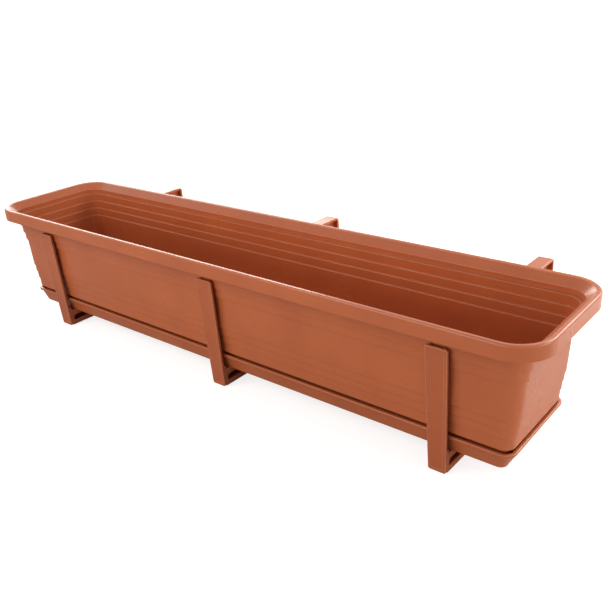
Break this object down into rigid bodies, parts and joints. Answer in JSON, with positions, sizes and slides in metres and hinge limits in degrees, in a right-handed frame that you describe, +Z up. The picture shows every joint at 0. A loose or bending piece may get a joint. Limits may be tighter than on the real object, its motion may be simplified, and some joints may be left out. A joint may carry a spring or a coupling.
{
  "type": "window box planter",
  "caption": "Long rectangular plant trough with a rolled rim and stepped walls, standing in a drip tray on hooked brackets that hang it from a rail.",
  "frame": {"origin": "on the ground below the middle of the trough, on the underside of the middle bracket's arm", "axes": "+X along the trough to its right end, +Y from its front to the rail behind it, +Z up"},
  "size_m": [1, 0.3188, 0.205],
  "materials": {
    "trough_plastic": "satin terracotta",
    "tray_plastic": "satin terracotta",
    "bracket_plastic": "satin terracotta"
  },
  "bodies": {
    "trough": {"trough": "trough_plastic"},
    "drip_tray": {"drip_tray": "tray_plastic"},
    "bracket_front_left": {"bracket_front_left": "bracket_plastic"},
    "bracket_front_middle": {"bracket_front_middle": "bracket_plastic"},
    "bracket_front_right": {"bracket_front_right": "bracket_plastic"},
    "bracket_rear_left": {"bracket_rear_left": "bracket_plastic"},
    "bracket_rear_middle": {"bracket_rear_middle": "bracket_plastic"},
    "bracket_rear_right": {"bracket_rear_right": "bracket_plastic"}
  },
  "joints": [
    {"name": "trough_lift", "type": "slide", "parent": "drip_tray", "child": "trough", "axis": [0, 0, 1], "range_m": [0, 0.25]},
    {"name": "left_bracket_shift", "type": "slide", "parent": "drip_tray", "child": "bracket_front_left", "axis": [1, 0, 0], "range_m": [-0.035, 0.2]},
    {"name": "middle_bracket_shift", "type": "slide", "parent": "drip_tray", "child": "bracket_front_middle", "axis": [1, 0, 0], "range_m": [-0.12, 0.12]},
    {"name": "right_bracket_shift", "type": "slide", "parent": "drip_tray", "child": "bracket_front_right", "axis": [1, 0, 0], "range_m": [-0.2, 0.035]},
    {"name": "left_hanger_adjust", "type": "slide", "parent": "bracket_front_left", "child": "bracket_rear_left", "axis": [0, 1, 0], "range_m": [0, 0.05]},
    {"name": "middle_hanger_adjust", "type": "slide", "parent": "bracket_front_middle", "child": "bracket_rear_middle", "axis": [0, 1, 0], "range_m": [0, 0.05]},
    {"name": "right_hanger_adjust", "type": "slide", "parent": "bracket_front_right", "child": "bracket_rear_right", "axis": [0, 1, 0], "range_m": [0, 0.05]}
  ]
}
